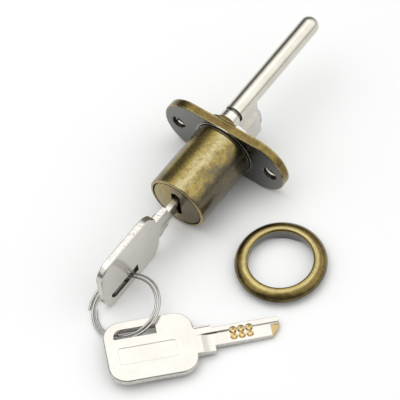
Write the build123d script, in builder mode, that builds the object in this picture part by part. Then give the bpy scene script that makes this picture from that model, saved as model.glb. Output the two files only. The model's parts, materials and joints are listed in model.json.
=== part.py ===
from build123d import *
import os
from math import asin, cos, radians, sin

# Cylinder drawer lock with an eccentric pin bolt, its escutcheon and its two keys on a split ring.
# The origin is the centre of the flange's front face on the barrel's axis.
# +Y runs rearward into the drawer, +X along the flange, +Z up. All sizes are in millimetres.

FRONT = (0, -1, 0)
REAR = (0, 1, 0)

# Fits
running_gap = 0.04
sliding_gap = 0.03
seat_gap = 0.1
face_gap = 0.05

# Housing: barrel and flange
barrel_d = 20.0
barrel_len = 24.6
barrel_edge = 0.5
barrel_rim = 0.95
root_groove_r = 0.6
flange_len = 45.4
flange_w = 21.2
flange_t = 2.9
flange_bevel = 0.35
screw_pitch = 34.8
screw_hole_d = 4.6
screw_hole_edge = 0.35

# Plug: head, body and tail
plug_d = 11.0
head_t = 1.5
head_ring_gap = 0.35
head_edge = 0.25
tail_d = 5.6
tail_flats = 4.4
neck_recess_h = 10.5
neck_recess_w = 3.4
neck_recess_t = 2.6

# Retaining clip in the plug's tail groove
clip_t = 0.8
clip_d = 13.6
clip_groove_d = 9.6
clip_mouth = 7.0
clip_recess_d = 15.2
clip_recess_t = 1.4

# Driver casting on the plug's tail
disc_d = 21.0
disc_t = 1.5
disc_edge = 0.25
hub_w = 7.8
hub_h = 9.2
hub_len = 10.0
hub_edge = 0.3
web_w = 5.8
web_proud = 0.2
boss_t = 1.1
boss_draft = 0.12
lug_d = 1.1
lug_orbit_r = 9.1
lug_len = 1.1
lug_groove_w = 1.4
lug_groove_t = 1.3
lug_home = 180.0

# Eccentric pin
pin_d = 6.2
pin_throw = 10.4
pin_tip_y = 49.9
pin_spigot_d = 3.6
pin_spigot_len = 2.2
pin_neck_d = 5.0
pin_neck_len = 1.3
pin_shoulder = 0.15

# Driver fastening
washer_d = 7.6
washer_t = 0.6
screw_d = 3.0
screw_len = 7.0
screw_head_d = 5.6
screw_head_t = 1.7
screw_slot_w = 0.8
screw_slot_t = 0.8

# Pin stacks: two rows of three on the hidden side
pin_dia = 1.5
pin_row_z = 1.0
dimple_from_shoulder = (6.05, 8.5, 10.95)
key_pin_tip = 0.04
key_pin_bevel = 0.25
key_pin_outer = 5.24
driver_pin_len = 1.75
driver_pin_rest = 0.45
spring_wire = 0.2
spring_d = 1.3
spring_turns = 3
cap_t = 0.85

# Keys
key_t = 2.3
blade_len = 20.1
blade_w = 6.0
blade_play = 0.1
tip_chamfer_l = 2.5
tip_chamfer_w = 2.8
neck_len = 5.5
neck_w = 9.0
neck_offset = -0.4
bow_len = 27.2
bow_w = 20.8
bow_corner = 5.6
bow_edge = 0.25
slot_len = 13.1
slot_w = 3.2
slot_from_neck = 11.0
slot_offset = 6.0
slot_outer_corner = 2.6
slot_inner_corner = 0.5
panel_len = 17.7
panel_w = 5.7
panel_t = 0.2
panel_from_neck = 5.8
panel_offset = -1.65
panel_corner = 0.7
channel_t = 0.5
channel_wall = 1.3
channel_run = 3.7
channel_run_flat = 1.0
dimple_d = 2.3
dimple_floor_d = 0.9
dimple_t = 0.45
ramp_len = 2.7
ramp_w = 3.8
ramp_t = 0.9

# How the keys lie: how far the key in the lock is drawn out, and how the spare key lies on the table
key_drawn = 5.2
shoulder_home = 0.3
spare_turn = 47.168
spare_rise = 3.17
spare_slip = 1.418
spare_ring_lap = 1.504

# Split ring: a flat spiral of two turns
ring_wire = 0.75
ring_r = 11.5
ring_gap = 0.42
ring_half_turns = 4
ring_to_key = 5.738
ring_slip = -0.206
ring_tilt = 16.06
ring_tilt_towards = -136.3
ring_start = 209.3
ring_low_r = 11.1

# Escutcheon, lying loose
collar_x = 35.6
collar_y = -20.2
collar_play = 0.07
collar_d = 28.5
collar_h = 4.8
collar_wall = 0.9
collar_lip_r = 0.7
collar_sheet = 0.5
collar_bulge = 0.85
collar_lip_z = 2.0
notch_count = 3
notch_foot = 82.0
notch_head = 52.0
notch_h = 1.8
notch_corner = 0.8
notch_first = 55.0

# Worked-out sizes and places
table_z = -flange_w / 2
head_recess_d = barrel_d - 2 * barrel_rim
head_d = head_recess_d - 2 * head_ring_gap
slot_centre = -neck_len - slot_from_neck - slot_len / 2
barrel_front = -barrel_len
plug_end = flange_t
disc_front = flange_t + seat_gap
hub_front = disc_front + disc_t
hub_rear = hub_front + hub_len
tail_end = hub_rear - 0.2
boss_rear = hub_front + boss_t
shoulder_in = barrel_front - shoulder_home
stack_ys = [shoulder_in + depth for depth in dimple_from_shoulder]
keyway_end = shoulder_in + blade_len + 0.6
bore_r = plug_d / 2 + running_gap
chamber_r = pin_dia / 2 + sliding_gap
cap_inner = barrel_d / 2 - cap_t
ring_pitch = ring_wire + ring_gap + 0.01
collar_bore_d = barrel_d + 2 * collar_play
standing = (Align.CENTER, Align.CENTER, Align.MIN)
hanging = (Align.CENTER, Align.CENTER, Align.MAX)


def across(y):
    """Plane square to the barrel's axis: local x is +X and local y is +Z."""
    return Plane(origin=(0, y, 0), x_dir=(1, 0, 0), z_dir=FRONT)


def disc_between(y0, y1, diameter, mode=Mode.ADD):
    """A round on the barrel's axis from y0 to y1."""
    with BuildSketch(across(y0)) as section:
        Circle(diameter / 2)
    extrude(section.sketch, amount=y1 - y0, dir=REAR, mode=mode)


def stacks():
    """Number, place along the axis and row height of each pin stack."""
    places = [(y, z) for z in (pin_row_z, -pin_row_z) for y in stack_ys]
    return [(number, y, z) for number, (y, z) in enumerate(places, start=1)]


def cut_chambers(x_from, x_to):
    """The round chambers of all the stacks, along X."""
    with BuildSketch(Plane.YZ.offset(x_from)) as section:
        with Locations([(y, z) for _, y, z in stacks()]):
            Circle(chamber_r)
    extrude(section.sketch, amount=x_to - x_from, mode=Mode.SUBTRACT)


# Housing
with BuildPart() as housing:
    with BuildSketch(across(0)):
        SlotOverall(flange_len, flange_w)
    extrude(amount=flange_t, dir=REAR)
    chamfer(housing.faces().sort_by(Axis.Y)[0].edges(), length=flange_bevel)
    disc_between(barrel_front, flange_t, barrel_d)
    fillet(housing.faces().sort_by(Axis.Y)[0].edges(), radius=barrel_edge)
    with BuildSketch(Plane.XY):
        with Locations((barrel_d / 2, -root_groove_r)):
            Circle(root_groove_r)
    revolve(axis=Axis.Y, mode=Mode.SUBTRACT)
    disc_between(barrel_front, flange_t, 2 * bore_r, Mode.SUBTRACT)
    disc_between(barrel_front, barrel_front + head_t + face_gap, head_recess_d, Mode.SUBTRACT)
    disc_between(flange_t - clip_recess_t, flange_t, clip_recess_d, Mode.SUBTRACT)
    with BuildSketch(across(flange_t - lug_groove_t)):
        Circle(lug_orbit_r + lug_groove_w / 2)
        Circle(lug_orbit_r - lug_groove_w / 2, mode=Mode.SUBTRACT)
        Rectangle(barrel_d, barrel_d, align=(Align.CENTER, Align.MAX), mode=Mode.SUBTRACT)
        with PolarLocations(lug_orbit_r, 2, start_angle=lug_home):
            Circle(lug_groove_w / 2)
    extrude(amount=lug_groove_t, dir=REAR, mode=Mode.SUBTRACT)
    with BuildSketch(across(0)):
        with GridLocations(screw_pitch, 0, 2, 1):
            Circle(screw_hole_d / 2)
    extrude(amount=flange_t, dir=REAR, mode=Mode.SUBTRACT)
    hole_rims = housing.edges().filter_by(GeomType.CIRCLE).filter_by(
        lambda rim: abs(rim.radius - screw_hole_d / 2) < 0.01 and rim.center().Y < face_gap)
    chamfer(hole_rims, length=screw_hole_edge)
    cut_chambers(-barrel_d / 2 - 1, -plug_d / 2 + 1)
housing.part.label = "housing"

# Plug
with BuildPart() as plug:
    disc_between(barrel_front, barrel_front + head_t, head_d)
    chamfer(plug.faces().sort_by(Axis.Y)[0].edges(), length=head_edge)
    disc_between(barrel_front + head_t, plug_end, plug_d)
    with BuildSketch(across(plug_end)):
        Circle(tail_d / 2)
        Rectangle(tail_flats, tail_d, mode=Mode.INTERSECT)
    extrude(amount=tail_end - plug_end, dir=REAR)
    with BuildSketch(across(barrel_front)):
        SlotOverall(neck_recess_h, neck_recess_w, rotation=90)
    extrude(amount=neck_recess_t, dir=REAR, mode=Mode.SUBTRACT)
    with BuildSketch(across(barrel_front)):
        Rectangle(key_t + 2 * blade_play, blade_w + 2 * blade_play)
    extrude(amount=keyway_end - barrel_front, dir=REAR, mode=Mode.SUBTRACT)
    with BuildSketch(across(plug_end - clip_recess_t + face_gap)):
        Circle(plug_d / 2 + 1)
        Circle(clip_groove_d / 2, mode=Mode.SUBTRACT)
    extrude(amount=clip_t + 2 * face_gap, dir=REAR, mode=Mode.SUBTRACT)
    disc_between(hub_rear - screw_len, hub_rear, screw_d, Mode.SUBTRACT)
    cut_chambers(-plug_d / 2 - 1, -key_t / 2)
plug.part.label = "plug"

# Retaining clip
with BuildPart() as retaining_clip:
    with BuildSketch(across(plug_end - clip_recess_t + 2 * face_gap)):
        Circle(clip_d / 2)
        Circle(clip_groove_d / 2, mode=Mode.SUBTRACT)
        with Locations((0, -clip_d / 2)):
            Rectangle(clip_mouth, clip_d, mode=Mode.SUBTRACT)
    extrude(amount=clip_t, dir=REAR)
    fillet(retaining_clip.edges().filter_by(Axis.Y).group_by(Axis.Z)[0], radius=0.4)
retaining_clip.part.label = "retaining_clip"

# Driver casting: disc, hub block, web up to the eccentric pin, its boss and the stop lug
with BuildPart() as driver:
    disc_between(disc_front, hub_front, disc_d)
    chamfer(driver.edges().filter_by(GeomType.CIRCLE), length=disc_edge)
    with BuildSketch(across(hub_front)):
        Rectangle(hub_w, hub_h)
    extrude(amount=hub_len, dir=REAR)
    chamfer(driver.faces().sort_by(Axis.Y)[-1].edges(), length=hub_edge)
    with BuildSketch(across(hub_front)):
        with Locations((0, pin_throw / 2)):
            Rectangle(web_w, pin_throw - pin_d / 2 + 1)
    extrude(amount=hub_len + web_proud, dir=REAR)
    for y, spread in ((disc_front, boss_draft), (boss_rear, 0.01)):
        with BuildSketch(across(y)):
            with Locations((0, pin_throw)):
                Circle(pin_d / 2 + spread)
    loft()
    with BuildSketch(across(boss_rear)):
        with Locations((0, pin_throw)):
            Circle(pin_d / 2)
    extrude(amount=hub_rear, dir=REAR, mode=Mode.SUBTRACT)
    with BuildSketch(across(boss_rear - pin_spigot_len)):
        with Locations((0, pin_throw)):
            Circle(pin_spigot_d / 2)
    extrude(amount=pin_spigot_len, dir=REAR, mode=Mode.SUBTRACT)
    with BuildSketch(across(disc_front)):
        Circle(tail_d / 2)
        Rectangle(tail_flats, tail_d, mode=Mode.INTERSECT)
    extrude(amount=hub_len + disc_t + web_proud, dir=REAR, mode=Mode.SUBTRACT)
    disc_between(hub_rear, hub_rear + web_proud, washer_d, Mode.SUBTRACT)
    with BuildSketch(across(disc_front - lug_len)):
        with PolarLocations(lug_orbit_r, 1, start_angle=lug_home):
            Circle(lug_d / 2)
    extrude(amount=lug_len, dir=REAR)
driver.part.label = "driver"

# Eccentric pin, turned about its own axis
with BuildPart() as eccentric_pin:
    spigot_front = boss_rear - pin_spigot_len
    neck_rear = boss_rear + pin_neck_len
    dome_y = pin_tip_y - pin_d / 2
    with BuildSketch(Plane.YZ):
        with BuildLine():
            Polyline(
                (spigot_front, pin_throw),
                (spigot_front, pin_throw + pin_spigot_d / 2),
                (boss_rear, pin_throw + pin_spigot_d / 2),
                (boss_rear, pin_throw + pin_neck_d / 2),
                (neck_rear - pin_shoulder, pin_throw + pin_neck_d / 2),
                (neck_rear - pin_shoulder, pin_throw + pin_d / 2 - pin_shoulder),
                (neck_rear, pin_throw + pin_d / 2),
                (dome_y, pin_throw + pin_d / 2),
            )
            RadiusArc((dome_y, pin_throw + pin_d / 2), (pin_tip_y, pin_throw), pin_d / 2)
            Line((pin_tip_y, pin_throw), (spigot_front, pin_throw))
        make_face()
    revolve(axis=Axis((0, 0, pin_throw), REAR))
eccentric_pin.part.label = "eccentric_pin"

# Driver washer and screw
with BuildPart() as driver_washer:
    with BuildSketch(across(hub_rear)):
        Circle(washer_d / 2)
        Circle(screw_d / 2, mode=Mode.SUBTRACT)
    extrude(amount=washer_t, dir=REAR)
driver_washer.part.label = "driver_washer"

with BuildPart() as driver_screw:
    disc_between(hub_rear - screw_len, hub_rear + washer_t, screw_d)
    disc_between(hub_rear + washer_t, hub_rear + washer_t + screw_head_t, screw_head_d)
    fillet(driver_screw.faces().sort_by(Axis.Y)[-1].edges(), radius=screw_head_t / 2)
    with BuildSketch(across(hub_rear + washer_t + screw_head_t - screw_slot_t)):
        Rectangle(screw_head_d, screw_slot_w)
    extrude(amount=screw_slot_t, dir=REAR, mode=Mode.SUBTRACT)
driver_screw.part.label = "driver_screw"

pieces = [housing, plug, retaining_clip, driver, eccentric_pin, driver_washer, driver_screw]


def rod_along_x(x_inner, x_outer, y, z, diameter, bevel):
    """A round pin from x_inner outward to x_outer, both on the hidden side, with bevelled ends."""
    with BuildPart() as rod:
        with BuildSketch(Plane.YZ.offset(x_inner)):
            with Locations((y, z)):
                Circle(diameter / 2)
        extrude(amount=x_outer - x_inner)
        if bevel:
            chamfer(rod.edges().filter_by(GeomType.CIRCLE), length=bevel)
    return rod


def stack_spring(x_inner, x_outer, y, z):
    """A coil spring along X between the driver pin and the chamber's cap."""
    with BuildPart() as spring:
        lift = x_inner - x_outer - spring_wire
        with BuildLine():
            turns = Helix(lift / spring_turns, lift, (spring_d - spring_wire) / 2,
                          center=(x_inner - spring_wire / 2, y, z), direction=(-1, 0, 0))
        with BuildSketch(Plane(origin=turns @ 0, z_dir=turns % 0)):
            RegularPolygon(spring_wire / 2, 4)
        sweep(path=turns.edges()[0], is_frenet=True)
    return spring


# Pin stacks: key pins in the plug, then driver pins, springs and caps in the housing
driver_inner = -bore_r - driver_pin_rest
driver_outer = driver_inner - driver_pin_len
for number, y, z in stacks():
    tip = -key_t / 2 - key_pin_tip + (channel_t if z > 0 else 0)
    key_pin = rod_along_x(tip, -key_pin_outer, y, z, pin_dia, key_pin_bevel)
    key_pin.part.label = f"key_pin_{number}"
    driver_pin = rod_along_x(driver_inner, driver_outer, y, z, pin_dia, key_pin_bevel / 2)
    driver_pin.part.label = f"driver_pin_{number}"
    pin_spring = stack_spring(driver_outer, -cap_inner, y, z)
    pin_spring.part.label = f"pin_spring_{number}"
    with BuildPart() as chamber_cap:
        with BuildSketch(Plane.YZ.offset(-cap_inner)):
            with Locations((y, z)):
                Circle(chamber_r)
        extrude(amount=-cap_t - 1)
        with BuildSketch(across(barrel_front)):
            Circle(barrel_d / 2)
        extrude(amount=barrel_len, dir=REAR, mode=Mode.INTERSECT)
    chamber_cap.part.label = f"chamber_cap_{number}"
    pieces += [key_pin, driver_pin, pin_spring, chamber_cap]


def dimple_key(place):
    """A key in its own plane: x from the shoulder to the tip, y across, z out of its milled face."""
    turned = Plane(origin=place.origin, x_dir=place.x_dir, z_dir=-place.z_dir)
    bow_start = -neck_len - bow_len
    with BuildPart() as key:
        with BuildSketch(place.offset(-key_t / 2)):
            with Locations((bow_start + bow_len / 2, 0)):
                RectangleRounded(bow_len, bow_w, bow_corner)
        extrude(amount=key_t)
        chamfer(key.faces().sort_by(Axis(place.origin, place.z_dir)).first.edges(), length=bow_edge)
        chamfer(key.faces().sort_by(Axis(place.origin, place.z_dir)).last.edges(), length=bow_edge)
        with BuildSketch(place.offset(-key_t / 2)):
            with Locations((-neck_len - bow_edge, neck_offset)):
                Rectangle(neck_len + bow_edge, neck_w, align=(Align.MIN, Align.CENTER))
            with BuildLine():
                Polyline(
                    (-bow_edge, -blade_w / 2),
                    (blade_len - tip_chamfer_l, -blade_w / 2),
                    (blade_len, -blade_w / 2 + tip_chamfer_w),
                    (blade_len, blade_w / 2 - 0.5),
                    (blade_len - 0.5, blade_w / 2),
                    (-bow_edge, blade_w / 2),
                    close=True,
                )
            make_face()
        extrude(amount=key_t)
        with BuildSketch(place.offset(-key_t / 2)) as slot:
            with Locations((slot_centre, slot_offset)):
                Rectangle(slot_len, slot_w)
            far_corners = slot.vertices().group_by(Axis.X)[0].sort_by(Axis.Y)
            fillet(far_corners.last, radius=slot_outer_corner)
            fillet(slot.vertices().group_by(Axis.X)[0].sort_by(Axis.Y).first, radius=slot_inner_corner)
        extrude(amount=key_t, mode=Mode.SUBTRACT)
        with BuildSketch(place.offset(key_t / 2)):
            with Locations((-neck_len - panel_from_neck - panel_len / 2, panel_offset)):
                RectangleRounded(panel_len, panel_w, panel_corner)
        extrude(amount=-panel_t, mode=Mode.SUBTRACT)
        for face in (place, turned):
            edge_on = Plane(origin=face.origin, x_dir=face.x_dir, z_dir=-face.y_dir)
            floor = key_t / 2 - channel_t
            with BuildSketch(edge_on.offset(-channel_wall)):
                with BuildLine():
                    Polyline(
                        (-channel_run, key_t / 2),
                        (-channel_run, key_t / 2 + 1),
                        (blade_len + 1, key_t / 2 + 1),
                        (blade_len + 1, floor),
                        (-channel_run_flat, floor),
                    )
                    TangentArc((-channel_run_flat, floor), (-channel_run, key_t / 2), tangent=(-1, 0))
                make_face()
            extrude(amount=neck_w, mode=Mode.SUBTRACT)
            with BuildSketch(edge_on.offset(blade_w / 2 - ramp_w)):
                Polygon((blade_len - ramp_len, floor), (blade_len + 1, floor),
                        (blade_len + 1, floor - ramp_t), align=None)
            extrude(amount=neck_w, mode=Mode.SUBTRACT)
            with Locations(face):
                with Locations([(depth, row, floor) for row in (-pin_row_z, pin_row_z)
                                for depth in dimple_from_shoulder]):
                    Cylinder(dimple_d / 2, channel_t, align=standing, mode=Mode.SUBTRACT)
                    Cone(dimple_floor_d / 2, dimple_d / 2, dimple_t, align=hanging, mode=Mode.SUBTRACT)
    return key


# Key in the lock, drawn out as photographed, with its milled face towards the pins
key_place = Plane(origin=(0, shoulder_in - key_drawn, 0), x_dir=REAR, z_dir=(-1, 0, 0))
key_in_lock = dimple_key(key_place)
key_in_lock.part.label = "key_in_lock"

# Split ring: one wire of two turns in a flat spiral of half-turn arcs, through the slot of the key
aim = radians(ring_tilt_towards)
lean = radians(ring_tilt)
ring_centre = Vector(
    ring_to_key,
    key_place.origin.Y + slot_centre - slot_len / 2 + ring_slip,
    table_z + ring_wire / 2 + ring_low_r * sin(lean) + face_gap / 2,
)
ring_normal = Vector(sin(lean) * cos(aim), sin(lean) * sin(aim), cos(lean))
ring_x_dir = Vector(cos(radians(ring_start)), sin(radians(ring_start)), 0)
ring_x_dir = ring_x_dir - ring_normal * ring_x_dir.dot(ring_normal)
ring_place = Plane(origin=ring_centre, x_dir=ring_x_dir, z_dir=-ring_normal)
with BuildPart() as split_ring:
    with BuildLine(ring_place) as spiral:
        for half in range(ring_half_turns):
            radius = ring_r - half * ring_pitch / 2
            centre = 0 if half % 2 == 0 else -ring_pitch / 2
            CenterArc((centre, 0), radius, 180 * (half % 2), 180)
    wire = spiral.wires()[0]
    with BuildSketch(Plane(origin=wire @ 0, z_dir=wire % 0)):
        Circle(ring_wire / 2)
    sweep(path=wire)
split_ring.part.label = "split_ring"

# The least gap between one turn of the ring and the next, measured on points a degree apart
ring_steps = 180 * ring_half_turns
ring_points = [wire @ (step / ring_steps) for step in range(ring_steps + 1)]
least_gap = min(
    (near - far).length - ring_wire
    for step, near in enumerate(ring_points)
    for far in ring_points[step + 90:]
)
print(f"split ring: least gap between its turns {least_gap:.2f} mm")

# Spare key, its tip on the table, its bow raised on the ring that passes through its slot
turn = radians(spare_turn)
rise = asin(spare_rise / (neck_len + bow_len + blade_len))
along = Vector(cos(turn) * cos(rise), sin(turn) * cos(rise), -sin(rise))
crosswise = Vector(-sin(turn), cos(turn), 0)
shoulder = ring_centre - along * (slot_centre - spare_slip)
shoulder = shoulder - crosswise * (slot_offset + ring_r - spare_ring_lap)
spare_z = table_z + blade_len * sin(rise) + key_t / 2 * cos(rise)
spare_place = Plane(origin=(shoulder.X, shoulder.Y, spare_z), x_dir=along, z_dir=along.cross(crosswise))
spare_key = dimple_key(spare_place)
spare_key.part.label = "spare_key"

# Escutcheon: a pressed collar, rounded outside, with a notched skirt
with BuildPart() as escutcheon:
    bore = collar_bore_d / 2
    rim = collar_d / 2
    crest = bore + collar_wall
    with BuildSketch(Plane.XZ):
        with BuildLine():
            Line((bore, 0), (bore, collar_h - collar_lip_r))
            RadiusArc((bore, collar_h - collar_lip_r), (crest, collar_h), collar_wall)
            ThreePointArc((crest, collar_h), (rim - collar_bulge, collar_h - collar_bulge),
                          (rim, collar_lip_z + collar_sheet))
            Line((rim, collar_lip_z + collar_sheet), (rim - collar_sheet, collar_lip_z))
            ThreePointArc((rim - collar_sheet, collar_lip_z),
                          (rim - collar_bulge - collar_sheet, collar_h - collar_bulge - collar_sheet),
                          (crest, collar_h - 2 * collar_sheet))
            Polyline((crest, collar_h - 2 * collar_sheet), (crest, 0), (bore, 0))
        make_face()
    revolve(axis=Axis.Z)
    wide_half = crest * sin(radians(notch_foot / 2))
    narrow_half = crest * sin(radians(notch_head / 2))
    for index in range(notch_count):
        bearing = radians(notch_first + 360 / notch_count * index)
        outward = (cos(bearing), sin(bearing), 0)
        sideways = (-sin(bearing), cos(bearing), 0)
        with BuildSketch(Plane(origin=(0, 0, 0), x_dir=sideways, z_dir=outward)) as notch:
            Polygon((-wide_half, 0), (wide_half, 0), (narrow_half, notch_h), (-narrow_half, notch_h), align=None)
            fillet(notch.vertices().group_by(Axis.Y)[-1], radius=notch_corner)
        extrude(amount=crest + collar_sheet, mode=Mode.SUBTRACT)
escutcheon.part = escutcheon.part.moved(Location((collar_x, collar_y, table_z)))
escutcheon.part.label = "escutcheon"

pieces += [key_in_lock, spare_key, split_ring, escutcheon]

os.makedirs("parts", exist_ok=True)
for piece in pieces:
    export_step(piece.part, f"parts/{piece.part.label}.step")
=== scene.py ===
import json
import math
import bmesh
import bpy
from mathutils import Matrix, Vector


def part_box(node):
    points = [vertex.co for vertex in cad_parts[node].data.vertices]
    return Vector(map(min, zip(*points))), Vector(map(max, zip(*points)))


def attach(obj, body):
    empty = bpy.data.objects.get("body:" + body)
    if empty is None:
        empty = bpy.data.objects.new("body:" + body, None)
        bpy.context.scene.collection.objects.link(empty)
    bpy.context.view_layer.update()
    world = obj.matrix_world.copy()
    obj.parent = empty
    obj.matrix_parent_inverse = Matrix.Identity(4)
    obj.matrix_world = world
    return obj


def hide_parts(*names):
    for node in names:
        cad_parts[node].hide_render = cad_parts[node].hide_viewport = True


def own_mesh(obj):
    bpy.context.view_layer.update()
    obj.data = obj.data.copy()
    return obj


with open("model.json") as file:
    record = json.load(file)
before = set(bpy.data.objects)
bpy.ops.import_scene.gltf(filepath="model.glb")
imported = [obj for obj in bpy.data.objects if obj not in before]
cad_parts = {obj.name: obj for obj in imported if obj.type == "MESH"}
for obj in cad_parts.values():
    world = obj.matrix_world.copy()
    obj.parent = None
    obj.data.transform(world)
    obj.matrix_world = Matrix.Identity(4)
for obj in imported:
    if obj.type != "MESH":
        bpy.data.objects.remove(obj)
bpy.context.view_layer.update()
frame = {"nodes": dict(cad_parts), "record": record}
MM = 0.001

# Lengths are in metres here, and in millimetres inside the finishes.

# The camera, at the photograph's angle
camera_azimuth = math.radians(43.49)
camera_elevation = math.radians(56.89)
camera_roll = math.radians(-8.49)
camera_distance = 0.8
aim_right = 7.33 * MM
aim_up = 16.14 * MM
focal_pixels = 2581.05
frame_pixels = 400
sensor_width = 36.0
near_clip = 10 * MM

# The table that the lock, the keys and the escutcheon lie on
table_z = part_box("split_ring")[0][2]


def camera_axes():
    """Right, up and back of the camera."""
    back = Vector((math.sin(camera_azimuth) * math.cos(camera_elevation),
                   -math.cos(camera_azimuth) * math.cos(camera_elevation),
                   math.sin(camera_elevation)))
    level_right = (-back).cross(Vector((0, 0, 1))).normalized()
    level_up = level_right.cross(-back)
    right = level_right * math.cos(camera_roll) + level_up * math.sin(camera_roll)
    up = level_up * math.cos(camera_roll) - level_right * math.sin(camera_roll)
    return right, up, back


def add_camera():
    right, up, back = camera_axes()
    data = bpy.data.cameras.new("camera")
    data.sensor_width = sensor_width
    data.lens = focal_pixels * sensor_width / frame_pixels
    data.clip_start = near_clip
    camera = bpy.data.objects.new("camera", data)
    place = back * camera_distance - right * aim_right - up * aim_up
    camera.matrix_world = Matrix.Translation(place) @ Matrix((right, up, back)).transposed().to_4x4()
    bpy.context.collection.objects.link(camera)
    bpy.context.scene.camera = camera


class Wire:
    """A number in a shader. Python's operators on it add Math nodes."""

    def __init__(self, nodes, socket):
        self.nodes = nodes
        self.socket = socket

    def _math(self, operation, *values):
        return self.nodes.value("ShaderNodeMath", {"operation": operation}, *values)

    def __add__(self, other):
        return self._math("ADD", self, other)

    def __radd__(self, other):
        return self._math("ADD", other, self)

    def __sub__(self, other):
        return self._math("SUBTRACT", self, other)

    def __rsub__(self, other):
        return self._math("SUBTRACT", other, self)

    def __mul__(self, other):
        return self._math("MULTIPLY", self, other)

    def __rmul__(self, other):
        return self._math("MULTIPLY", other, self)

    def __truediv__(self, other):
        return self._math("DIVIDE", self, other)

    def __abs__(self):
        return self._math("ABSOLUTE", self)

    def above(self, low, high):
        """0 up to low, 1 from high on, and smooth between."""
        ramp = self.nodes.add("ShaderNodeMapRange", {"interpolation_type": "SMOOTHSTEP"},
                              {"Value": self, "From Min": low, "From Max": high})
        return Wire(self.nodes, ramp.outputs["Result"])

    def below(self, low, high):
        """1 up to low, 0 from high on, and smooth between."""
        return 1 - self.above(low, high)

    def between(self, low, high, soft):
        """1 from low to high and 0 outside. Each end is smooth from soft before it to soft after it."""
        return self.above(low - soft, low + soft) * self.below(high - soft, high + soft)

    def hypot(self, other):
        return self._math("SQRT", self * self + other * other)

    def most(self, *others):
        """The greatest of this number and the others."""
        greatest = self
        for other in others:
            greatest = self._math("MAXIMUM", greatest, other)
        return greatest


class Nodes:
    """A node tree and the calls that add to it. Places are read in the given unit."""

    def __init__(self, tree, space, unit=1.0):
        self.tree = tree
        self.spaces = self.add("ShaderNodeTexCoord").outputs
        self.place = self.add("ShaderNodeVectorMath", {"operation": "SCALE"},
                              {0: self.spaces[space], "Scale": 1 / unit}).outputs[0]

    def plug(self, socket, value):
        """Set a socket to a constant, or link a wire or another node's socket to it."""
        if isinstance(value, Wire):
            value = value.socket
        if isinstance(value, bpy.types.NodeSocket):
            self.tree.links.new(value, socket)
        else:
            socket.default_value = value

    def add(self, kind, settings=None, inputs=None):
        """A node of that kind, with its settings and then its sockets' values or links."""
        node = self.tree.nodes.new(kind)
        for name, value in (settings or {}).items():
            setattr(node, name, value)
        for name, value in (inputs or {}).items():
            self.plug(node.inputs[name], value)
        return node

    def value(self, kind, settings, *values):
        """The first output of a new node, as a wire."""
        return Wire(self, self.add(kind, settings, dict(enumerate(values))).outputs[0])

    def axes(self):
        parts = self.add("ShaderNodeSeparateXYZ", {}, {0: self.place})
        return [Wire(self, out) for out in parts.outputs]

    def noise(self, size, detail, roughness=0.55, stretch=(1, 1, 1)):
        """Noise whose patches are about that size, drawn out along an axis whose stretch is under 1."""
        drawn = self.add("ShaderNodeMapping", {"vector_type": "POINT"},
                         {"Vector": self.place, "Scale": stretch})
        node = self.add("ShaderNodeTexNoise", {"noise_dimensions": "3D"},
                        {"Vector": drawn.outputs[0], "Scale": 1 / size, "Detail": detail,
                         "Roughness": roughness})
        return Wire(self, node.outputs["Fac"])

    def dot(self, first, second):
        product = self.add("ShaderNodeVectorMath", {"operation": "DOT_PRODUCT"}, {0: first, 1: second})
        return Wire(self, product.outputs["Value"])

    def along(self, direction, origin=(0, 0, 0)):
        """How far a point lies from origin along a direction."""
        away = self.add("ShaderNodeVectorMath", {"operation": "SUBTRACT"}, {0: self.place, 1: tuple(origin)})
        return self.dot(away.outputs[0], tuple(direction))

    def blend(self, amount, first, second):
        """The first colour where amount is 0, and the second where it is 1."""
        factor, color_a, color_b, color_out = 0, 6, 7, 2
        mix = self.add("ShaderNodeMix", {"data_type": "RGBA"},
                       {factor: amount, color_a: first, color_b: second})
        return mix.outputs[color_out]

    def layered(self, tone, layers):
        """A colour with further colours laid over it in turn, each where its mask is 1."""
        for mask, color in layers:
            tone = self.blend(mask, tone, color)
        return tone


class Finish(Nodes):
    """A material and its nodes. Its lengths are in millimetres of the object's own space."""

    def __init__(self, name):
        self.material = bpy.data.materials.new(name)
        self.material.use_nodes = True
        super().__init__(self.material.node_tree, "Object", MM)
        self.shader = self.tree.nodes["Principled BSDF"]

    def rounded(self, radius):
        """The surface's direction as if its edges were rounded to that radius."""
        return self.add("ShaderNodeBevel", {"samples": 8}, {"Radius": radius * MM}).outputs[0]

    def finish(self, color, roughness, metallic=1.0, relief=None, edge=0.0, coat=0.0, coat_roughness=0.2):
        """The material itself. relief is a height, and edge the radius that edges seem rounded to."""
        self.plug(self.shader.inputs["Base Color"], color)
        self.plug(self.shader.inputs["Roughness"], roughness)
        self.plug(self.shader.inputs["Metallic"], metallic)
        self.plug(self.shader.inputs["Coat Weight"], coat)
        self.plug(self.shader.inputs["Coat Roughness"], coat_roughness)
        normal = self.rounded(edge) if edge else None
        if relief is not None:
            bump = self.add("ShaderNodeBump", {}, {"Height": relief, "Distance": MM})
            if normal is not None:
                self.plug(bump.inputs["Normal"], normal)
            normal = bump.outputs[0]
        if normal is not None:
            self.plug(self.shader.inputs["Normal"], normal)
        return self.material


def rgb(red, green, blue):
    return (red, green, blue, 1.0)


# Colours that the brass reflects where worn or grimy, and the tones of light, highlights and shade painted on
# it
# Painted highlights, and brighter wear
pale_brass = rgb(0.42, 0.375, 0.225)
# Worn gold, also painted as light on tops
worn_and_lit_gold = rgb(0.38, 0.29, 0.085)
old_gold = rgb(0.24, 0.172, 0.044)
russet = rgb(0.19, 0.105, 0.034)
olive = rgb(0.13, 0.100, 0.030)
umber = rgb(0.080, 0.046, 0.016)
# Darker brass, painted as shade on sides
shade_and_patina = rgb(0.105, 0.098, 0.076)
# The front face's blackening, also painted as shade at holes
soot_and_shade_grey = rgb(0.155, 0.155, 0.150)
# Painted glints
glint_metal = rgb(0.62, 0.61, 0.58)
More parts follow.
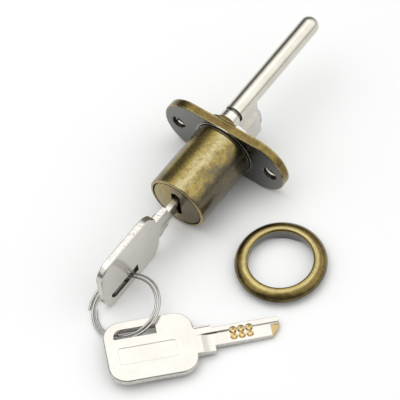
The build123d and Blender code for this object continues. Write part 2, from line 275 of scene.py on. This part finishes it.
# Painted shade in hollows
painted_shade_black = rgb(0.012, 0.011, 0.010)
cut_brass = rgb(0.62, 0.44, 0.155)
turned_brass = rgb(0.62, 0.46, 0.19)

# Colours of the plated pieces, of the cutter marks on them, and of the shade and dark reflections painted on
# them
nickel_white = rgb(0.68, 0.66, 0.615)
nickel_shade = rgb(0.60, 0.57, 0.515)
pin_nickel = rgb(0.66, 0.635, 0.56)
ring_steel = rgb(0.50, 0.485, 0.455)
zinc_grey = rgb(0.55, 0.55, 0.55)
cutter_mark = rgb(0.20, 0.19, 0.175)
# Painted shade in the pin's neck
neck_shade = rgb(0.13, 0.108, 0.092)
# Painted shade in a channel's corner and along a neck's edge
channel_shade = rgb(0.10, 0.085, 0.075)
# A painted dark reflection on a key's back edge
back_edge_dark_reflection = rgb(0.09, 0.08, 0.075)
# Painted shade in a key's slot
slot_shade = rgb(0.07, 0.06, 0.055)

# The lock's own sizes that the wear, tarnish and painted light follow, in millimetres, from the imported part
# where it states them
mounts = {mount["name"]: mount for mount in frame["record"]["mounts"]}
barrel_r = mounts["barrel"]["dims"]["r_mm"]
barrel_front = -mounts["barrel"]["dims"]["length_mm"]
flange_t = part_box("housing")[1][1] / MM
hole_x = mounts["screw_holes"]["dims"]["pcd_mm"] / 2
hole_r = mounts["screw_holes"]["dims"]["hole_r_mm"]
collar_centre = Vector(mounts["escutcheon_bore"]["pos_m"]) / MM
collar_bore_r = mounts["escutcheon_bore"]["dims"]["r_mm"]
keyway_half_w = 1.3
keyway_half_h = 3.5
pin_shoulder_y = 6.9


def antique_brass(name, patina_and_light, mottle=1.0):
    """Brass darkened and worn back under a thin lacquer, with light and shade painted on it.
    patina_and_light(f) gives the masks of the places that are worn or painted lit and, where there are any,
    painted highlights, painted shade, blackening, painted glints and very dark painted shade, and a height.
    mottle is how strongly the brass's tone varies."""
    f = Finish(name)
    place = dict.fromkeys(("highlight_and_wear", "shade_and_patina", "soot_and_shade", "painted_glint", "shade_black", "height"), 0.0)
    place.update(patina_and_light(f))
    broad = f.noise(4, 2.0)
    cloud = f.noise(1.3, 4.0, 0.6)
    speck = f.noise(0.35, 2.0, 0.6)
    body = (broad * 0.35 + cloud * 0.40 + speck * 0.25).above(0.38, 0.62)
    worn = (cloud * 0.45 + speck * 0.55).above(0.36, 0.62)
    pits = (speck * 0.6 + cloud * 0.4).below(0.38, 0.50)
    layers = [
        (broad.below(0.38, 0.52) * 0.5 * mottle, russet),
        # Gold where worn, and gold painted as light on the barrel's top, the plug face's left and the
        # escutcheon's crown
        (place["worn_and_lit"] * (1 - 0.5 * mottle + 0.5 * mottle * worn), worn_and_lit_gold),
        # Painted highlights and reflections, and brighter wear on edges
        (place["highlight_and_wear"] * (0.45 + 0.55 * worn), pale_brass),
        # Darker brass: painted shade on the barrel's sides, shade and darker tarnish on the escutcheon's flank
        (place["shade_and_patina"] * (0.60 + 0.40 * (1 - body)), shade_and_patina),
        (pits * (0.50 - 0.20 * place["worn_and_lit"]) * mottle, umber),
        # Blackening on the flange's front face, dark grey painted as shade at the screw holes, and dark grey
        # inside the skirt
        (place["soot_and_shade"] * (0.85 + 0.15 * cloud.above(0.3, 0.6)), soot_and_shade_grey),
        # Painted glints of bright metal
        (place["painted_glint"], glint_metal),
        # Very dark painted shade in holes, the keyway, the barrel's root and low on the escutcheon's flank
        (place["shade_black"], painted_shade_black),
    ]
    relief = (cloud * 0.6 + speck * 0.4) * 0.018 * mottle + place["height"]
    return f.finish(f.layered(f.blend(body, olive, old_gold), layers), 0.15 + 0.10 * cloud + 0.10 * speck,
                    relief=relief, edge=0.12, coat=0.3, coat_roughness=0.22)


def housing_patina_and_light(f):
    """Gold on the barrel's top as painted light, a bright painted highlight line along it, and darker brass on
    its sides and underside as painted shade. Worn gold on the edges and the barrel's mouth, blackening on the
    flange's front face, painted shade in the screw holes and round the barrel's root, and painted glints of
    bright metal on a hole wall and on a ridge round the root."""
    x, y, z = f.axes()
    radius = x.hypot(z)
    drift = (f.noise(4, 3.0) - 0.5) * 0.7
    # How far the surface faces up to the overhead light: gold where it does is painted light, darker brass
    # where it faces away is painted shade
    lit_side = (z * 0.995 - x * 0.10) / radius + drift
    # The line along the barrel where the overhead light's highlight falls, painted bright as a highlight
    highlight_line = (z * 0.985 + x * 0.174) / radius + drift * 0.15

    barrel = y.below(-0.6, -0.2)
    mouth = y.below(barrel_front + 0.08, barrel_front + 0.4)
    # The barrel's root, where barrel and flange meet, painted very dark as shade
    root = y.between(-0.7, 0.2, 0.2) * radius.below(barrel_r + 0.2, barrel_r + 0.6)
    # A bumped ridge round the root, painted bright as glints
    ridge = (radius - (barrel_r + 0.35)).hypot(y * 0.6).below(0.05, 0.30)

    off_barrel = radius.above(barrel_r + 0.45, barrel_r + 0.55)
    rim = off_barrel * y.between(0.1, flange_t - 0.08, 0.05)
    rim_edges = off_barrel * y.between(0.08, 0.40, 0.06).most(
        y.between(flange_t - 0.40, flange_t - 0.08, 0.05))
    front = y.between(-1, 0.05, 0.04) * radius.above(barrel_r + 0.1, barrel_r + 0.3)

    from_hole = (abs(x) - hole_x).hypot(z)
    hole = from_hole.below(hole_r + 0.01, hole_r + 0.06)
    # A band of each screw hole's wall, painted bright as the reflection of the light seen out through the hole
    glint = y.between(1.25, 1.75, 0.12)
    # The hole's front end and the face round it, painted dark grey as shade
    hole_shade = from_hole.below(hole_r + 0.45, hole_r + 0.55) * y.below(0.7, 0.9)
    clean = 1 - front.most(root, from_hole.below(hole_r + 0.3, hole_r + 0.6) * y.below(1.0, 2.4))
    # Gold on the rim edges and the barrel's mouth is wear; on the barrel's top it is painted light
    return {"worn_and_lit": (lit_side.above(0.40, 0.95) * (0.10 + 0.90 * barrel)).most(rim_edges, mouth) * clean,
            # A painted highlight along the barrel's top, and brighter wear on the mouth and the rim edges
            "highlight_and_wear": (highlight_line.above(0.97, 0.999) * barrel * 0.8).most(mouth * 0.6, rim_edges * clean * 0.5),
            # Darker brass on the barrel's sides and underside, painted shade
            "shade_and_patina": lit_side.below(0.50, 0.98) * barrel * (1 - mouth),
            # The flange's front face blackened, and dark grey painted as shade at the screw holes' front ends
            "soot_and_shade": front.most(hole_shade),
            # Painted glints: bright metal on a band of each screw hole's wall and on the ridge round the root
            "painted_glint": (hole * glint).most(ridge),
            # Painted shade: very dark in the screw holes and at the barrel's root, and a little darker on the
            # rim's middle
            "shade_black": (hole * (1 - glint) * y.below(2.2, 2.6) * 0.93).most(root * (1 - ridge) * 0.75,
                                                                          rim * (1 - rim_edges) * 0.10),
            "height": ridge * 0.25}


def plug_patina_and_light(f):
    """Worn gold at the face's edge. Gold on the face's left and a bright lower left are painted light and
    reflection, the face's right part is darkened as painted shade, and the keyway is painted very dark as
    shade.
    """
    x, y, z = f.axes()
    true_normal = f.add("ShaderNodeNewGeometry").outputs["True Normal"]
    edges = f.dot(f.rounded(0.35), true_normal).below(0.80, 0.985)
    face = y.below(barrel_front + 0.8, barrel_front + 1.2)
    keyway = (abs(x).below(keyway_half_w - 0.1, keyway_half_w + 0.5)
              * abs(z).below(keyway_half_h - 0.2, keyway_half_h + 0.2)
              * y.above(barrel_front + 0.2, barrel_front + 0.6))
    # Gold on the face's edges is wear; gold on the face's left part is painted light
    return {"worn_and_lit": (edges * 0.9).most(face * x.below(-4, 1)),
            # A painted reflection, brighter, at the face's lower left
            "highlight_and_wear": face * (x * 0.8 + z * 0.6).below(-7, -1) * 0.7,
            # Painted shade: the keyway very dark, the face's right part darker
            "shade_black": keyway.most(face * x.above(-1, 2) * (1 - edges) * 0.45)}


def collar_patina_and_light(f):
    """Gold on the escutcheon's crown, worn and painted as light, shifted to one side, with a bright painted
    highlight ring on it; darker brass on its flank, partly painted shade and partly darker tarnish, and very
    dark painted shade low on the flank; dark grey inside the skirt's lower part.
    """
    x, y, z = f.axes()
    radius = (x - collar_centre.x).hypot(y - collar_centre.y)
    wander = (f.noise(4, 2.0) - 0.5) * 0.8
    # The crown's gold and highlight ring centre on a point shifted to one side, where the painted light and
    # highlight fall
    worn_and_lit_radius = (x - (collar_centre.x + 0.28)).hypot(y - (collar_centre.y - 0.29)) + wander
    crown = z.above(-6.9, -6.2)
    lip = radius.below(collar_bore_r + 0.15, collar_bore_r + 0.35)
    skirt = radius.below(collar_bore_r + 0.2, collar_bore_r + 0.4) * z.below(-7.0, -6.6)
    flank = radius.above(12.2, 12.9)
    # Gold on the crown: wear, and painted light
    return {"worn_and_lit": crown * worn_and_lit_radius.below(11.4, 12.2) * (1 - 0.7 * lip),
            # A painted highlight ring on the crown
            "highlight_and_wear": crown * worn_and_lit_radius.between(10.95, 11.55, 0.2) * 0.8,
            # Darker brass on the flank: painted shade, and darker tarnish
            "shade_and_patina": flank * z.below(-8.6, -6.4) * 0.85,
            # Dark grey inside the skirt's lower part
            "soot_and_shade": skirt,
            # Very dark painted shade low on the flank
            "shade_black": flank * z.below(-8.8, -7.0) * 0.6}


def plated(name, tint, roughness, edge=0.0, stretch=(1, 1, 1), waves=0.0, painted_shade=None):
    """Plated or turned metal with faint clouds, fine grain and, on a casting, slow waves. painted_shade(f),
    where given, is the mask of the places painted darker as shade."""
    f = Finish(name)
    cloud = f.noise(5, 3.0)
    fine = f.noise(0.5, 3.0, 0.6, stretch)
    slow = f.noise(2.5, 2.0)
    shade = rgb(*(0.86 * channel for channel in tint[:3]))
    tone = f.blend(cloud.above(0.30, 0.70) * 0.6, tint, shade)
    if painted_shade:
        # Darkens the masked places as painted shade
        tone = f.blend(painted_shade(f), tone, neck_shade)
    return f.finish(tone, roughness + 0.10 * (fine - 0.5) + 0.06 * cloud, relief=fine * 0.01 + slow * waves,
                    edge=edge)


def pin_neck(f):
    """The narrow neck between the eccentric pin and its boss, painted dark as shade."""
    y = f.axes()[1]
    return y.below(pin_shoulder_y - 0.1, pin_shoulder_y + 0.05) * 0.85


# A key's own sizes in millimetres: u runs from the shoulder to the tip, v across the blade
key_half_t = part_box("key_in_lock")[1][0] / MM
dimple_stops = (6.05, 8.5, 10.95)
dimple_rows = (-1.0, 1.0)
dimple_r = 1.15
ramp_start = 17.4
ramp_v = (-3.4, 0.75)
slot_u = (-29.6, -16.5)
slot_v = (4.4, 7.6)
channel_wall_v = (0.95, 1.42)
channel_depth = 0.5
# Where a painted shadow line runs along the neck's top edge
neck_shadow_u = (-5.4, -0.4)
neck_shadow_v = (3.45, 3.75)


def dimpled_key(name, shoulder, along, across, slot_shade_amount, back_edge_reflection_amount):
    """Nickelled key whose dimples and tip ramp are cut through to the brass, with cutter ticks on its narrow
    edges, painted shade in its slot and in its channel's corner, a painted shadow along its neck's top edge,
    and a painted dark reflection on its back edge."""
    f = Finish(name)
    through = along.cross(across)
    u = f.along(along, shoulder)
    v = f.along(across, shoulder)
    depth = f.along(through, shoulder)
    cloud = f.noise(6, 3.0)
    fine = f.noise(0.4, 3.0, 0.6)

    cuts = [(u - stop).hypot(v - row).below(dimple_r - 0.10, dimple_r + 0.05)
            for row in dimple_rows for stop in dimple_stops]
    cuts.append(u.above(ramp_start - 0.05, ramp_start + 0.15) * v.between(*ramp_v, 0.1))
    cut = cuts[0].most(*cuts[1:])
    # The slot's inner walls, painted dark as shade
    slot = (u.between(slot_u[0] - 0.1, slot_u[1] + 0.1, 0.05)
            * v.between(slot_v[0] - 0.1, slot_v[1] + 0.1, 0.05)
            * abs(depth).below(key_half_t - 0.10, key_half_t))
    floor = key_half_t - channel_depth
    # The channel's corner at its wall, painted dark as shade
    channel = (u.above(-5.5, -2.0) * v.between(*channel_wall_v, 0.12)
               * abs(depth).above(floor - 0.11, floor - 0.05))
    # A painted shadow line along the neck's top edge
    neck_edge_shadow = u.between(*neck_shadow_u, 0.2) * v.between(*neck_shadow_v, 0.08)

    rim = abs(f.dot(f.spaces["Normal"], tuple(through))).below(0.35, 0.75)
    drawn_through = tuple(0.3 if abs(part) > 0.5 else 1.0 for part in through)
    ticks = f.noise(0.30, 2.0, 0.6, drawn_through).below(0.38, 0.48)
    layers = [
        (rim * ticks * 0.45, cutter_mark),
        # A painted dark reflection along the back corner of the key's narrow edges
        (rim * depth.above(0.72, 0.90) * back_edge_reflection_amount, back_edge_dark_reflection),
        # Painted shade in the slot
        (slot * slot_shade_amount, slot_shade),
        # Painted shade in the channel's corner, and the painted shadow along the neck's top edge
        ((channel * (1 - cut)).most(neck_edge_shadow) * 0.8, channel_shade),
        (cut * (0.7 + 0.3 * fine.above(0.4, 0.6)), cut_brass),
    ]
    plate = f.blend(cloud.above(0.30, 0.70) * 0.4, nickel_white, nickel_shade)
    return f.finish(f.layered(plate, layers), 0.24 + 0.10 * (fine - 0.5), relief=fine * 0.006, edge=0.12)


# How close a pin spring's doubled points lie
weld_distance = 0.001 * MM


def add_spring_coil(number):
    """The pin spring again, as a welded copy of its mesh fixed to the lock body, with the imported spring
    hidden.
    """
    name = f"pin_spring_{number}"
    data = frame["nodes"][name].data.copy()
    welded = bmesh.new()
    welded.from_mesh(data)
    bmesh.ops.remove_doubles(welded, verts=welded.verts, dist=weld_distance)
    welded.to_mesh(data)
    welded.free()
    coil = bpy.data.objects.new(f"{name}_coil", data)
    bpy.context.collection.objects.link(coil)
    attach(coil, "lock_body")
    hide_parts(name)
    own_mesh(coil)


# The table top and the room round it
table_white = rgb(0.95, 0.955, 0.955)
table_half_size = 3.0
room_dark = rgb(0.10, 0.10, 0.10)
room_light = rgb(1.0, 1.0, 0.99)
room_strength = 1.60
toward_ceiling = (-0.20, 0.17, 0.965)
toward_wall = (0.46, 0.44, 0.771)


def add_floor():
    half = table_half_size
    corners = [(-half, -half), (half, -half), (half, half), (-half, half)]
    mesh = bpy.data.meshes.new("floor")
    mesh.from_pydata([(x, y, table_z) for x, y in corners], [], [(0, 1, 2, 3)])
    floor = bpy.data.objects.new("floor", mesh)
    bpy.context.collection.objects.link(floor)
    floor.data.materials.append(Finish("table").finish(table_white, 0.6, metallic=0.0))


def add_lamp(name, azimuth, elevation, distance, size, watts):
    """A square area lamp that faces the object. Azimuth 0 stands on the -Y side, 90 on the +X side."""
    data = bpy.data.lights.new(name, "AREA")
    data.shape = "SQUARE"
    data.size = size
    data.energy = watts
    lamp = bpy.data.objects.new(name, data)
    a, e = math.radians(azimuth), math.radians(elevation)
    away = Vector((math.sin(a) * math.cos(e), -math.cos(a) * math.cos(e), math.sin(e)))
    lamp.location = away * distance
    lamp.rotation_euler = away.to_track_quat("Z", "Y").to_euler()
    bpy.context.collection.objects.link(lamp)


def add_world():
    """A dim room with a bright ceiling over the table and a bright wall behind it on the right."""
    world = bpy.data.worlds.new("studio")
    bpy.context.scene.world = world
    world.use_nodes = True
    room = Nodes(world.node_tree, "Generated")
    z = room.axes()[2]
    ceiling = room.along(toward_ceiling).above(0.72, 0.98)
    wall = room.along(toward_wall).above(0.46, 1.02) * 0.9
    haze = z.above(0.35, 0.95) * 0.2
    background = world.node_tree.nodes["Background"]
    room.plug(background.inputs["Color"], room.blend(ceiling.most(wall, haze), room_dark, room_light))
    background.inputs["Strength"].default_value = room_strength


slot_finishes = {
    "antique_brass": antique_brass("antique_brass", housing_patina_and_light),
    "plug_brass": antique_brass("plug_brass", plug_patina_and_light),
    "bright_nickel": plated("nickel_cast", nickel_white, 0.15, edge=0.12, stretch=(1.0, 0.3, 1.0), waves=0.03),
    "ring_steel": plated("ring_wire", ring_steel, 0.20),
    "plain_brass": plated("turned_brass", turned_brass, 0.26, edge=0.05, stretch=(0.2, 1.0, 1.0)),
    "plain_steel": plated("zinc_plate", zinc_grey, 0.30),
}

# Each key's shoulder and its directions along and across the blade
lock_key = (Vector((0, -30.1, 0)), Vector((0, 1, 0)), Vector((0, 0, -1)))
spare_turn = math.radians(47.168)
spare_key = (Vector((34.073, -52.87, -8.243)),
             Vector((math.cos(spare_turn), math.sin(spare_turn), 0)),
             Vector((-math.sin(spare_turn), math.cos(spare_turn), 0)))
own_finishes = {
    "escutcheon": antique_brass("collar_brass", collar_patina_and_light, mottle=0.5),
    "eccentric_pin": plated("nickel_pin", pin_nickel, 0.15, edge=0.10, stretch=(1.0, 0.3, 1.0), waves=0.02,
                            painted_shade=pin_neck),
    "spare_key": dimpled_key("spare_key_nickel", *spare_key, slot_shade_amount=0.6, back_edge_reflection_amount=0.0),
    "key_in_lock": dimpled_key("key_nickel", *lock_key, slot_shade_amount=0.9, back_edge_reflection_amount=0.75),
}
for subpart in frame["record"]["subparts"]:
    node = frame["nodes"][subpart["node"]]
    node.data.materials.clear()
    node.data.materials.append(own_finishes.get(subpart["node"]) or slot_finishes[subpart["material_slot"]])

for stack in range(1, 7):
    add_spring_coil(stack)

add_camera()
add_floor()
add_world()
add_lamp("window", azimuth=-55, elevation=50, distance=1.0, size=1.2, watts=3.8)
add_lamp("softbox", azimuth=180, elevation=66, distance=1.0, size=0.22, watts=0.10)

bpy.context.scene.view_settings.view_transform = "Standard"
